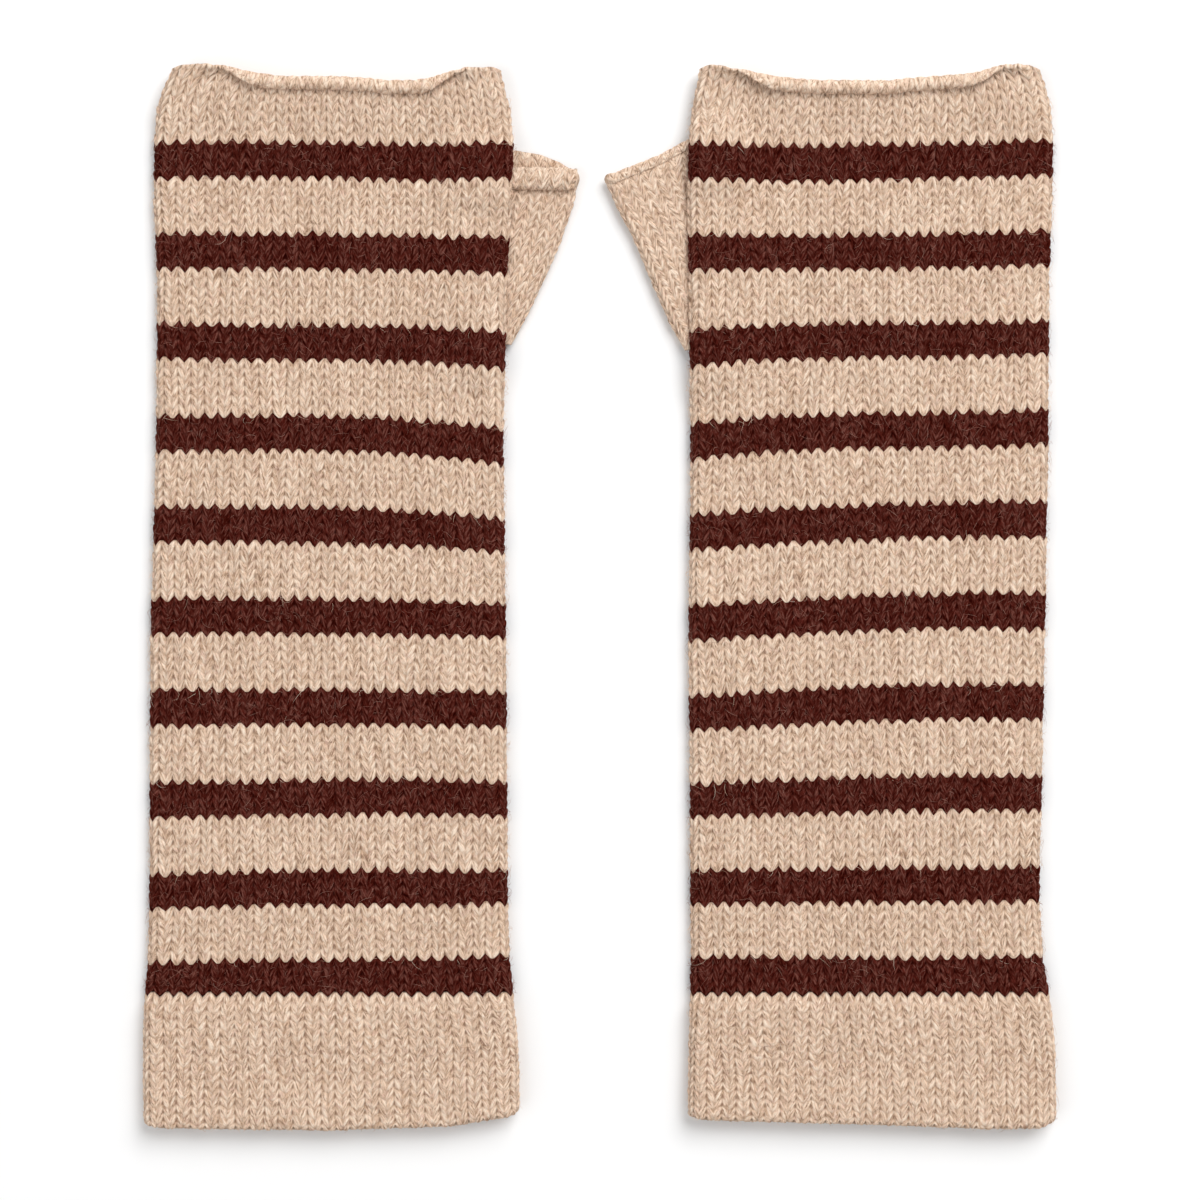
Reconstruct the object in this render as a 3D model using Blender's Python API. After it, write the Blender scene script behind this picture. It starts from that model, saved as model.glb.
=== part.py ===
"""Pair of striped knitted wrist warmers, laid flat side by side with the backs of the hands up.

Each mitt is one knitted tube, pressed flat: a front and a back panel that meet at the middle of
the rounded side folds, a thicker turned hem at -Y, a rim at +Y that rolls outward, and a plain
thumb wedge that comes out from under the front panel's inner side. The back panels lie on Z = 0.
"""

import bpy
import numpy as np

MM = 0.001

# Cloth, in millimetres
KNIT_WALL = 2.0
HEM_WALL = 3.2
RIM_WALL = 1.5
THUMB_WALL = 1.7
SEAM_GAP = 0.3
HAND_HOLLOW = 0.6
MOUTH_HOLLOW = 1.4
THUMB_HOLLOW = 0.75

# Levels along each mitt, in millimetres from the pair's middle
HEM_LINE = -105.0
HEM_STEP = 4.0
MOUTH_LENGTH = 20.0
LIFT_START = 121.0
RIM_LINE = 135.75
THIN_START = 124.0

# Side folds: how far in from the side the cloth starts to turn, and the steps round the turn
HAND_FOLD = 4.0
THUMB_FOLD = 2.6
FOLD_STEPS = 3
HAND_COLUMNS = 17
THUMB_COLUMNS = 8

# Rolled rim of the hand: the cloth in the roll, its turn in the middle and at the corners, and
# how far it rises over the middle of the wall
ROLL_LENGTH = 5.2
ROLL_TURN = np.radians(228.0)
CORNER_TURN = np.radians(22.0)
ROLL_RISE = 2.6
ROLL_ROWS = 8

# Thumb: how far its front layer is tucked under the hand, how far in from the hand's side that
# layer holds the hand's front panel up and where the panel is down again, and the rolled rim:
# its wall, its turn in the middle and at the outer corner, and its rise in view and where tucked
TUCK = 5.0
TUCK_AT_TIP = 2.0
RISE_SPAN = (7.0, 24.0)
THUMB_RIM_WALL = 1.3
THUMB_TURN = np.radians(215.0)
THUMB_CORNER_TURN = np.radians(70.0)
THUMB_ROLL_RISE = 2.6
TUCKED_ROLL_RISE = 1.75
THUMB_BACK_START = 2.0

# Rows of each piece as shares of its length, closer where the shape changes
FRONT_ROWS = (
    *(0, 0.05, 0.25, 0.45, 0.648, 0.672, 0.695, 0.77, 0.85),
    *(0.866, 0.88, 0.898, 0.914, 0.93, 0.945, 0.96, 0.98, 1),
)
BACK_ROWS = (0, 0.04, 0.12, 0.3, 0.5, 0.7, 0.86, 0.94, 0.97, 1)
HEM_ROWS = (0, 0.014, 0.046, 0.28, 0.58, 0.88, 0.94, 1)
HEM_ROUNDING = (0.4, 0.8, 1, 1, 1, 1, 1, 1)
THUMB_ROWS = (0, 0.06, 0.15, 0.3, 0.5, 0.7, 0.85, 1)

# Side edges of each mitt: height along the mitt, left edge, right edge
SIDES = {
    "left": (
        (-141.0, -120.4, -21.3),
        (-137.5, -120.8, -20.9),
        (-120.0, -121.0, -21.2),
        (-105.0, -120.8, -22.6),
        (-97.0, -119.9, -23.5),
        (-80.0, -119.5, -24.1),
        (-12.0, -119.3, -24.5),
        (40.0, -117.8, -25.3),
        (84.0, -117.4, -24.2),
        (104.0, -118.4, -23.0),
        (120.0, -118.3, -22.5),
        (130.0, -117.2, -23.6),
        (136.0, -115.0, -25.2),
        (141.0, -111.9, -27.0),
    ),
    "right": (
        (-141.0, 23.6, 120.2),
        (-137.5, 23.2, 121.0),
        (-120.0, 23.4, 120.8),
        (-105.0, 23.8, 119.4),
        (-97.0, 24.0, 117.9),
        (-80.0, 23.9, 116.8),
        (-12.0, 23.4, 118.2),
        (40.0, 23.9, 119.2),
        (84.0, 23.3, 119.4),
        (104.0, 22.9, 120.2),
        (120.0, 23.3, 120.5),
        (130.0, 24.3, 119.6),
        (136.0, 25.6, 118.0),
        (141.0, 27.2, 115.4),
    ),
}

# Lower edge of each hem: distance along it from the mitt's left side to its right side as a
# share, and the height
HEM_EDGES = {
    "left": ((0.0, -139.6), (0.08, -140.4), (0.5, -141.0), (0.8, -139.9), (0.95, -137.4), (1.0, -136.2)),
    "right": ((0.0, -137.4), (0.08, -138.3), (0.5, -139.4), (0.8, -140.6), (0.93, -140.4), (1.0, -138.6)),
}

# Where the hand's rim starts to roll and is fully rolled, from the left and from the right side
ROLL_SPANS = {
    "left": {"left": (6.0, 29.0), "right": (2.0, 19.0)},
    "right": {"left": (2.0, 23.0), "right": (5.0, 31.0)},
}

# Thumbs: the side of the mitt that carries it (+1 for its right side), its outer edge as rows of
# height and x, the heights of its rims at the hand's edge and at the outer corner, the cloth in
# its roll, and the hand's front panel over it as rows of height and rise
THUMBS = {
    "left": {
        "side": 1,
        "edge": ((67.0, -23.3), (73.5, -19.7), (84.0, -14.4), (94.7, -9.9), (105.3, -6.4), (112.5, -5.2)),
        "front_rim": (110.8, 110.2),
        "back_rim": (118.6, 112.4),
        "roll": 7.6,
        "corner_roll": 2.0,
        "rise": ((51.0, 0.0), (61.5, 2.0), (100.0, 2.0), (106.0, 3.6), (115.0, 3.6), (128.0, 0.0)),
    },
    "right": {
        "side": -1,
        "edge": ((65.5, 22.6), (73.5, 17.9), (84.0, 13.4), (94.7, 8.9), (105.3, 3.8), (111.5, 1.4)),
        "front_rim": (115.6, 108.6),
        "back_rim": (120.6, 111.0),
        "roll": 5.0,
        "corner_roll": 2.0,
        "rise": ((50.0, 0.0), (60.0, 2.0), (104.0, 2.0), (111.0, 3.6), (119.0, 3.6), (130.0, 0.0)),
    },
}

# Undyed oatmeal yarn
OATMEAL = (0.66, 0.47, 0.35, 1.0)
YARN_ROUGHNESS = 0.9


def ease(value, start, end):
    """0 before start, 1 after end and an S-shaped rise between them."""
    share = np.clip((value - start) / (end - start), 0.0, 1.0)
    return share * share * (3.0 - 2.0 * share)


def read_rows(rows, value):
    """A table's later columns at the given values of its first, on straight lines between rows."""
    columns = np.array(rows).T
    return [np.interp(value, columns[0], column) for column in columns[1:]]


def fold_columns(count, folds):
    """Columns across a panel: each one's share across, and how far its cloth faces sideways and up.

    Flat cloth faces up. Round a fold it turns a quarter circle, from sideways at the seam to up.
    """
    shares = np.linspace(0.0, 1.0, count)
    shares = 0.6 * shares + 0.4 * (0.5 - 0.5 * np.cos(np.pi * shares))
    angles = np.linspace(0.0, np.pi / 2, FOLD_STEPS, endpoint=False)
    place, sideways, upward = shares, np.zeros(count), np.ones(count)
    if "left" in folds:
        place = np.concatenate((np.zeros(FOLD_STEPS), place))
        sideways = np.concatenate((-np.cos(angles), sideways))
        upward = np.concatenate((np.sin(angles), upward))
    if "right" in folds:
        place = np.concatenate((place, np.ones(FOLD_STEPS)))
        sideways = np.concatenate((sideways, np.cos(angles)[::-1]))
        upward = np.concatenate((upward, np.sin(angles)[::-1]))
    return place, sideways, upward


def panel_walls(along, columns, sides, levels, walls, face):
    """Outer and inner points of one panel where its cloth lies at the heights along.

    face is 1 for the front panel and -1 for the back. The outer wall turns on an ellipse from the
    seam at mid height to its flat top, and the inner wall follows it one wall thickness inside.
    """
    place, sideways, upward = columns
    left, right = sides
    middle, wall, hollow, fold = levels
    flat_x = (left + fold) + place * (right - left - 2 * fold)
    seam = SEAM_GAP / 2
    outer_x = flat_x + fold * sideways
    inner_x = flat_x + (fold - walls) * sideways
    outer_z = middle + face * (seam + (wall + hollow / 2 - seam) * upward)
    inner_z = middle + face * (seam + (hollow / 2 - seam) * upward)
    outer = np.stack(np.broadcast_arrays(outer_x, along, outer_z), axis=-1)
    inner = np.stack(np.broadcast_arrays(inner_x, along, inner_z), axis=-1)
    return outer, inner


def roll_path(shares, length, turn, rise):
    """The rolled rim's path: an arc of the given length and turn, flattened to the given rise.

    Returns, for each share of the length, the distance along the mitt, the height over the wall's
    middle, and the direction that was the cloth's outer side as its two parts.
    """
    radius = length / turn
    angle = shares * turn
    tallest = radius * (1.0 - np.cos(np.minimum(turn, np.pi)))
    squash = np.minimum(1.0, rise / tallest)
    ahead = radius * np.sin(angle)
    above = squash * radius * (1.0 - np.cos(angle))
    size = np.hypot(np.cos(angle), squash * np.sin(angle))
    return ahead, above, -squash * np.sin(angle) / size, np.cos(angle) / size


def yarn_material(name, colour):
    """Matt yarn in one colour."""
    material = bpy.data.materials.new(name)
    material.use_nodes = True
    shader = material.node_tree.nodes["Principled BSDF"]
    shader.inputs["Base Color"].default_value = colour
    shader.inputs["Roughness"].default_value = YARN_ROUGHNESS
    shader.inputs["Metallic"].default_value = 0.0
    return material


def add_shell(name, outer, inner):
    """One closed piece of cloth from its outer and inner points, two grids of the same size."""
    rows, columns = outer.shape[:2]
    number = np.arange(2 * rows * columns).reshape(2, rows, columns)

    def quads(grid):
        corners = (grid[:-1, :-1], grid[:-1, 1:], grid[1:, 1:], grid[1:, :-1])
        return np.stack(corners, axis=-1).reshape(-1, 4)

    faces = [quads(number[0]), quads(number[1])[:, ::-1]]
    for edge in (number[:, 0, :], number[:, :, -1], number[:, -1, ::-1], number[:, ::-1, 0]):
        faces.append(quads(edge[::-1]))
    faces = np.concatenate(faces)
    points = np.concatenate((outer.reshape(-1, 3), inner.reshape(-1, 3))) * MM
    a, b, c, d = (points[faces[:, k]] for k in range(4))
    volume = np.einsum("ij,ij->i", a, np.cross(b, c) + np.cross(c, d)).sum()
    if volume < 0:
        faces = faces[:, ::-1]
    mesh = bpy.data.meshes.new(name)
    mesh.from_pydata(points.tolist(), [], faces.tolist())
    mesh.materials.append(yarn_material(f"{name}_yarn", OATMEAL))
    mesh.shade_smooth()
    mesh.set_sharp_from_angle(angle=np.radians(50.0))
    piece = bpy.data.objects.new(name, mesh)
    bpy.context.scene.collection.objects.link(piece)
    return piece


def hand_levels(along):
    """The hand tube's mid height, wall, hollow and fold at the heights along.

    The panels thin towards the rim, and the tube rises there to make room for the roll below it.
    """
    thin = ease(along, THIN_START, RIM_LINE)
    wall = KNIT_WALL + (RIM_WALL - KNIT_WALL) * thin
    lift = ROLL_RISE * ease(along, LIFT_START, RIM_LINE)
    return lift + wall + HAND_HOLLOW / 2, wall, HAND_HOLLOW, HAND_FOLD


def thumb_rise(mitt, along, across):
    """How far the thumb lifts the front panel: whole at the thumb's side, fading across it."""
    left, right = read_rows(SIDES[mitt], along)
    inward = right - across if THUMBS[mitt]["side"] > 0 else across - left
    rows = THUMBS[mitt]["rise"]
    lengthwise = rows[0][1] + 0.0 * along
    for (low, rise_low), (high, rise_high) in zip(rows, rows[1:]):
        lengthwise = lengthwise + (rise_high - rise_low) * ease(along, low, high)
    return lengthwise * (1.0 - ease(inward, *RISE_SPAN))


def make_hand(mitt, face, rows):
    """A striped panel from the hem line to its rolled rim."""
    columns = fold_columns(HAND_COLUMNS, ("left", "right"))
    place, sideways, upward = columns

    # The roll's turn, from how far each column is from the two sides
    low, high = read_rows(SIDES[mitt], RIM_LINE)
    across = low + HAND_FOLD + place * (high - low - 2 * HAND_FOLD) + HAND_FOLD * sideways
    from_left = ease(across - low, *ROLL_SPANS[mitt]["left"])
    from_right = ease(high - across, *ROLL_SPANS[mitt]["right"])
    turn = CORNER_TURN + (ROLL_TURN - CORNER_TURN) * from_left * from_right
    shares = np.linspace(0.0, 1.0, ROLL_ROWS + 1)[1:, None]
    ahead, above, back, out = roll_path(shares, ROLL_LENGTH, turn[None, :], ROLL_RISE)

    body = HEM_LINE + np.array(rows)[:, None] * (RIM_LINE - HEM_LINE) + 0.0 * place[None, :]
    along = np.concatenate((body, RIM_LINE + ahead))
    levels = hand_levels(along)
    outer, inner = panel_walls(along, columns, read_rows(SIDES[mitt], along), levels, levels[1], face)

    # The rolled rows leave the wall's middle along the direction that the cloth faces
    middle = 0.5 * (outer + inner)[len(rows):]
    facing = np.stack((sideways, 0.0 * place, face * upward), axis=-1)[None, :, :]
    middle = middle + above[..., None] * facing
    half = 0.5 * RIM_WALL * np.where(shares > 0.99, 0.6, 1.0)[..., None]
    offset = half * (out[..., None] * facing + back[..., None] * np.array((0.0, 1.0, 0.0)))
    outer[len(rows):] = middle + offset
    inner[len(rows):] = middle - offset

    if face > 0:
        for wall in (outer, inner):
            wall[..., 2] += thumb_rise(mitt, wall[..., 1], wall[..., 0])
    name = "front" if face > 0 else "back"
    return add_shell(f"{mitt}_hand_{name}", outer, inner)


def make_hem(mitt, face):
    """The turned hem, two layers thick, with its rounded lower fold and its step at the hem line."""
    columns = fold_columns(HAND_COLUMNS, ("left", "right"))
    place, sideways, _ = columns
    top = HEM_LINE - SEAM_GAP
    low, high = read_rows(SIDES[mitt], top)
    across = place * (1.0 - 2 * HAND_FOLD / (high - low)) + HAND_FOLD / (high - low) * (1.0 + sideways)
    (bottom,) = read_rows(HEM_EDGES[mitt], across)
    along = bottom + np.array(HEM_ROWS)[:, None] * (top - bottom)
    wall = HEM_WALL + (KNIT_WALL - HEM_WALL) * ease(along, top - HEM_STEP, top)
    hollow = HAND_HOLLOW + (MOUTH_HOLLOW - HAND_HOLLOW) * ease(-along, -bottom - MOUTH_LENGTH, -bottom)
    levels = (wall + hollow / 2, wall, hollow, HAND_FOLD)
    outer, inner = panel_walls(along, columns, read_rows(SIDES[mitt], along), levels, wall, face)
    middle = 0.5 * (outer + inner)
    rounding = np.array(HEM_ROUNDING)[:, None, None]
    outer = middle + (outer - middle) * rounding
    inner = middle + (inner - middle) * rounding
    name = "front" if face > 0 else "back"
    return add_shell(f"{mitt}_hem_{name}", outer, inner)


def make_thumb(mitt, face):
    """One layer of the thumb wedge, from its narrow lower end to its rim.

    The front layer's inner edge is tucked under the hand and its rim rolls outward. The back
    layer's inner edge meets the side of the hand's back panel, and its rim lies flat.
    """
    thumb = THUMBS[mitt]
    side = thumb["side"]
    front = face > 0
    columns = fold_columns(THUMB_COLUMNS, ("right",))
    place, sideways, upward = columns

    def edges(along):
        """Hand's edge, the layer's inner edge and the thumb's outer edge, all measured outward."""
        hand = side * read_rows(SIDES[mitt], along)[1 if side > 0 else 0]
        tuck = TUCK_AT_TIP + (TUCK - TUCK_AT_TIP) * ease(along, start, start + 12.0)
        outer = side * read_rows(thumb["edge"], along)[0]
        return hand, hand - tuck if front else hand + SEAM_GAP, outer

    start = thumb["edge"][0][0] + (0.0 if front else THUMB_BACK_START)
    hand_rim, corner_rim = thumb["front_rim"] if front else thumb["back_rim"]
    rim = hand_rim + (corner_rim - hand_rim) * place
    along = start + np.array(THUMB_ROWS)[:, None] * (rim - start)
    if front:
        # At the outer corner there is little cloth to roll, and under the hand the roll is pressed
        hand, inner_edge, outer_edge = edges(rim)
        shown = inner_edge + place * (outer_edge - inner_edge) - hand
        corner = ease(shown, outer_edge - hand - 8.0, outer_edge - hand) * (0.5 + 0.5 * sideways)
        length = thumb["roll"] + (thumb["corner_roll"] - thumb["roll"]) * corner
        turn = THUMB_TURN + (THUMB_CORNER_TURN - THUMB_TURN) * corner
        rise = TUCKED_ROLL_RISE + (THUMB_ROLL_RISE - TUCKED_ROLL_RISE) * ease(shown, 1.0, 6.0)
        shares = np.linspace(0.0, 1.0, ROLL_ROWS + 1)[1:, None]
        ahead, above, back, out = roll_path(shares, length, turn, rise)
        along = np.concatenate((along, rim + ahead))

    hand, inner_edge, outer_edge = edges(along)
    fold = np.minimum(THUMB_FOLD, 0.8 * (outer_edge - hand - SEAM_GAP))
    sides = (inner_edge - fold, outer_edge)
    levels = (THUMB_WALL + THUMB_HOLLOW / 2, THUMB_WALL, THUMB_HOLLOW, fold)
    outer, inner = panel_walls(along, columns, sides, levels, np.minimum(THUMB_WALL, 0.7 * fold), face)
    middle = 0.5 * (outer + inner)
    if front:
        count = len(THUMB_ROWS)
        facing = np.stack((sideways, 0.0 * place, upward), axis=-1)[None, :, :]
        rolled = middle[count:] + above[..., None] * facing
        half = 0.5 * THUMB_RIM_WALL * np.where(shares > 0.99, 0.6, 1.0)[..., None]
        offset = half * (out[..., None] * facing + back[..., None] * np.array((0.0, 1.0, 0.0)))
        outer[count:] = rolled + offset
        inner[count:] = rolled - offset
    else:
        outer[-1] = middle[-1] + 0.5 * (outer[-1] - middle[-1])
        inner[-1] = middle[-1] + 0.5 * (inner[-1] - middle[-1])
    outer[0] = middle[0] + 0.6 * (outer[0] - middle[0])
    inner[0] = middle[0] + 0.6 * (inner[0] - middle[0])
    for wall in (outer, inner):
        wall[..., 0] *= side
    name = "front" if front else "back"
    return add_shell(f"{mitt}_thumb_{name}", outer, inner)


for old in list(bpy.data.objects):
    bpy.data.objects.remove(old)

for mitt_name in ("left", "right"):
    for panel_face, hand_rows in ((1, FRONT_ROWS), (-1, BACK_ROWS)):
        make_hand(mitt_name, panel_face, hand_rows)
        make_hem(mitt_name, panel_face)
        make_thumb(mitt_name, panel_face)
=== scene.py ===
import bpy
import numpy as np
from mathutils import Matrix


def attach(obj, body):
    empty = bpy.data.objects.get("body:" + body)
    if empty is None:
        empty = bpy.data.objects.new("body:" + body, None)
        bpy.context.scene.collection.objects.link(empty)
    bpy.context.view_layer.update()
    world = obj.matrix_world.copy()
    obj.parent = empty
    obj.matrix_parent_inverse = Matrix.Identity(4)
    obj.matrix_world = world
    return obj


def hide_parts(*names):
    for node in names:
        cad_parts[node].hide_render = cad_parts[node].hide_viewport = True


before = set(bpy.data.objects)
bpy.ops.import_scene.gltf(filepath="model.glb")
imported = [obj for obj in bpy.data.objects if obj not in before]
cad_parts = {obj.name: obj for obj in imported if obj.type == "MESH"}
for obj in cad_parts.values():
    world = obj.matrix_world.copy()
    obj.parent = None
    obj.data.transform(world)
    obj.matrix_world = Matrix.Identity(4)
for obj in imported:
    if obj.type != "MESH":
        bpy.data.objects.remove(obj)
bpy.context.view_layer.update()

# Table, light and camera
#
# The pair lies on a plain white table under one large soft light from the upper right, with a
# weaker one opposite and an even white surround. The camera looks straight down at it.

MM = 0.001
TABLE_SIZE = 4000.0
TABLE_WHITE = (0.94, 0.94, 0.94, 1.0)
TABLE_ROUGHNESS = 0.7
SURROUND = 0.41

# Width and middle of what the camera shows, at the height of the cloth, and its lens and sensor
VIEW_WIDTH = 318.0
VIEW_MIDDLE = (0.13, -0.66)
VIEW_LEVEL = 3.0
LENS = 100.0
SENSOR = 36.0


def add_softbox(name, place, size, power):
    """A square area light at a place in millimetres, turned towards the middle of the pair."""
    light = bpy.data.lights.new(name, "AREA")
    light.size = size * MM
    light.energy = power
    lamp = bpy.data.objects.new(name, light)
    lamp.location = np.array(place) * MM
    lamp.rotation_euler = lamp.location.to_track_quat("Z", "Y").to_euler()
    bpy.context.scene.collection.objects.link(lamp)


add_softbox("key_softbox", (950.0, 1400.0, 2000.0), 1800.0, 57.0)
add_softbox("fill_softbox", (-1500.0, -700.0, 2000.0), 2200.0, 17.0)

surround = bpy.data.worlds.new("surround")
surround.use_nodes = True
background = surround.node_tree.nodes["Background"]
background.inputs["Color"].default_value = (1.0, 1.0, 1.0, 1.0)
background.inputs["Strength"].default_value = SURROUND
bpy.context.scene.world = surround
bpy.context.scene.view_settings.view_transform = "Standard"

table_mesh = bpy.data.meshes.new("table")
half_table = 0.5 * TABLE_SIZE * MM
table_corners = ((-1.0, -1.0), (1.0, -1.0), (1.0, 1.0), (-1.0, 1.0))
table_points = [(half_table * x, half_table * y, 0.0) for x, y in table_corners]
table_mesh.from_pydata(table_points, [], [(0, 1, 2, 3)])
table_paint = bpy.data.materials.new("table_paint")
table_paint.use_nodes = True
table_shader = table_paint.node_tree.nodes["Principled BSDF"]
table_shader.inputs["Base Color"].default_value = TABLE_WHITE
table_shader.inputs["Roughness"].default_value = TABLE_ROUGHNESS
table_mesh.materials.append(table_paint)
table = bpy.data.objects.new("table", table_mesh)
bpy.context.scene.collection.objects.link(table)

camera_data = bpy.data.cameras.new("camera")
camera_data.lens = LENS
camera_data.sensor_width = SENSOR
camera = bpy.data.objects.new("camera", camera_data)
camera.location = np.array((*VIEW_MIDDLE, VIEW_WIDTH * LENS / SENSOR + VIEW_LEVEL)) * MM
bpy.context.scene.collection.objects.link(camera)
bpy.context.scene.camera = camera

# Hands of the mitts
#
# Each hand is a tube of stockinette, 27 stitch columns in front and 27 behind, in oatmeal wool
# with a dark brown stripe of 4 courses in every 10. It is knitted in the round on the hem, lies
# pressed flat with round side folds, and its cast-off rim rolls outward and shows the purl side.

# Stitch columns across a face, courses from one stripe to the next and in a stripe, stripes, the
# course at which the rim starts to roll, the courses in the roll, and the panels of a tube
WALES = 27
STRIPE_REPEAT = 10
STRIPE_COURSES = 4
STRIPES = 10
RIM_COURSE = 100.5
ROLL_COURSES = 1.85
FACES = {1: "front", -1: "back"}

# Thickness of the cloth and of the rim, the hollow between the faces and the reach of a side fold,
# and the heights of the hem's end, of where the cloth lifts and thins, and of the roll's start
KNIT_WALL = 2.0
RIM_WALL = 1.5
HAND_HOLLOW = 0.6
HAND_FOLD = 4.0
HEM_LINE = -105.0
LIFT_START = 121.0
THIN_START = 124.0
RIM_LINE = 135.75

# The rim's roll: its length, how much longer it is where it is full, its turn there and at the
# mitt's corners, its height, how fast it grows, and how its lip thins
ROLL_LENGTH = 5.2
ROLL_LONGER = 1.11
ROLL_TURN = np.radians(300.0)
CORNER_TURN = np.radians(22.0)
ROLL_RISE = 2.6
ROLL_GROWTH = 1.15
LIP_LESS = 0.4
LIP_SPAN = (0.85, 1.0)

# Side edges of each mitt: height along the mitt, left edge, right edge
SIDES = {
    "left": (
        (-141.0, -120.4, -21.3), (-137.5, -120.8, -20.9), (-120.0, -121.0, -21.2),
        (-105.0, -120.8, -22.6), (-97.0, -119.9, -23.5), (-80.0, -119.5, -24.1),
        (-12.0, -119.3, -24.5), (40.0, -117.8, -25.3), (84.0, -117.4, -24.2),
        (104.0, -118.4, -23.0), (120.0, -118.3, -22.5), (130.0, -117.2, -23.6),
        (136.0, -115.0, -25.2), (141.0, -111.9, -27.0),
    ),
    "right": (
        (-141.0, 23.6, 120.2), (-137.5, 23.2, 121.0), (-120.0, 23.4, 120.8), (-105.0, 23.8, 119.4),
        (-97.0, 24.0, 117.9), (-80.0, 23.9, 116.8), (-12.0, 23.4, 118.2), (40.0, 23.9, 119.2),
        (84.0, 23.3, 119.4), (104.0, 22.9, 120.2), (120.0, 23.3, 120.5), (130.0, 24.3, 119.6),
        (136.0, 25.6, 118.0), (141.0, 27.2, 115.4),
    ),
}

# Middle height of each stripe, from the lowest up, at five places across the mitt
STRIPE_PLACES = {"left": (0.06, 0.29, 0.51, 0.73, 0.96), "right": (0.04, 0.28, 0.50, 0.73, 0.96)}
STRIPE_HEIGHTS = {
    "left": (
        (-101.1, -100.6, -100.6, -100.1, -99.2), (-78.0, -77.1, -77.2, -76.9, -76.9),
        (-53.7, -53.4, -52.9, -52.7, -53.5), (-29.3, -29.3, -29.2, -29.2, -29.7),
        (-5.1, -4.9, -5.0, -5.6, -6.0), (19.3, 19.1, 19.0, 18.0, 16.4),
        (43.3, 43.5, 43.3, 42.4, 40.0), (67.9, 67.5, 67.3, 67.0, 65.4),
        (91.5, 91.6, 91.3, 91.1, 90.3), (115.6, 115.8, 115.5, 115.0, 115.1),
    ),
    "right": (
        (-99.7, -99.8, -99.7, -100.1, -99.5), (-76.8, -76.6, -76.2, -76.1, -75.9),
        (-53.6, -52.9, -52.1, -51.8, -51.8), (-30.6, -29.4, -28.1, -27.7, -27.7),
        (-6.7, -5.3, -4.2, -3.6, -3.6), (17.4, 18.9, 19.9, 20.6, 20.7),
        (41.3, 43.5, 43.9, 44.4, 45.2), (65.8, 67.7, 68.0, 68.3, 68.8),
        (91.2, 91.4, 91.3, 91.9, 92.4), (114.9, 114.6, 115.0, 115.4, 116.2),
    ),
}

# Upper outline of each mitt as rows of x and height
RIM_TOPS = {
    "left": (
        (-112.5, 140.7), (-108.5, 141.0), (-104.5, 140.8), (-100.6, 140.3), (-96.6, 139.5),
        (-92.6, 138.7), (-88.6, 138.2), (-84.7, 137.7), (-68.8, 137.6), (-60.8, 137.1),
        (-56.8, 136.6), (-48.9, 136.6), (-44.9, 137.1), (-40.9, 138.2), (-37.0, 139.3),
        (-33.0, 139.8), (-29.0, 140.2),
    ),
    "right": (
        (29.3, 140.5), (33.3, 139.8), (37.2, 139.3), (41.2, 138.5), (45.2, 137.7), (53.1, 136.9),
        (57.1, 136.6), (77.0, 136.5), (81.0, 137.1), (88.9, 137.7), (96.9, 138.2), (100.8, 138.7),
        (104.8, 139.8), (108.8, 140.7), (112.8, 140.9), (116.7, 140.6),
    ),
}

# Where the rim starts to roll and is fully rolled, from the left and from the right side, and how
# far in and how deep the mitt's corners are rounded
ROLL_SPANS = {
    "left": {"left": (5.5, 30.0), "right": (6.0, 25.0)},
    "right": {"left": (2.5, 27.0), "right": (1.0, 27.0)},
}
CORNER_ROUND = 3.0
CORNER_DROP = 1.1

# Each thumb's side of its mitt, and the hand's front panel over it as rows of height and rise
THUMB_SIDE = {"left": 1, "right": -1}
THUMB_RISE = {
    "left": ((51.0, 0.0), (61.5, 2.0), (100.0, 2.0), (106.0, 3.6), (115.0, 3.6), (128.0, 0.0)),
    "right": ((50.0, 0.0), (60.0, 2.0), (104.0, 2.0), (111.0, 3.6), (119.0, 3.6), (130.0, 0.0)),
}
RISE_SPAN = (7.0, 24.0)

# A stitch: its height, how far its legs climb from the middle of the column to its side, in courses,
# how much each leg leans, by how much that varies, the legs' sizes and the depth between them
COURSE = 2.41
SLANT = 0.66
LEG_LEAN = 0.42
LEAN_RANGE = 0.09
LEG_SIZES = (0.72, 1.0)
GROOVE = 1.15

# How far a leg sinks at its two ends, how fast, and how much more at its head
TIP_DROP = 0.37
TIP_POWER = 2.2
TIP_TILT = 0.12

# How far the gaps beside a leg are filled where it is free and where it is pressed, as a share of
# its height, and the parts of its length where its foot comes free and its head is pressed
PRESSED = (0.24, 0.74)
FOOT_FREE = 0.6
FOOT_SPAN = (0.4, 0.85)
HEAD_SPANS = ((0.3, 0.6), (0.7, 1.0))

# The purl side on the rolled rim: how far a strand slants in columns for a course, its depth, how
# full its form is, how deep the dents along it are, and how far strands are shifted at random
ROPE_SLANT = 1.5
ROPE_DEPTH = 0.55
STRAND_POWER = 0.6
ROPE_DENTS = 0.2
ROPE_SHIFT = 0.12

# Mesh rows in each course, mesh columns in each stitch column of a front and of a back panel, and
# rows on the outer and on the inner wall of the rim's roll
COURSE_STEPS = (0.0, 0.22, 0.5, 0.78)
FRONT_STEPS = 8
BACK_STEPS = 4
OUTER_ROLL_ROWS = 9
INNER_ROLL_ROWS = 19

# Unevenness: how far crests stand past the plain wall, the cloth's slow waves, the columns' drift
# as rows of size in columns, size in courses and shift, the columns from a seam in which it is
# held back, the courses' shifts, and the first seed of each mitt
CREST = 0.15
WAVES = 0.18
DRIFTS = ((5.0, 12.0, 0.10), (1.0, 3.0, 0.06))
SEAM_REACH = 1.5
COURSE_LIFT = 0.07
HAND_SEEDS = {"left": 10, "right": 20}

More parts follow.
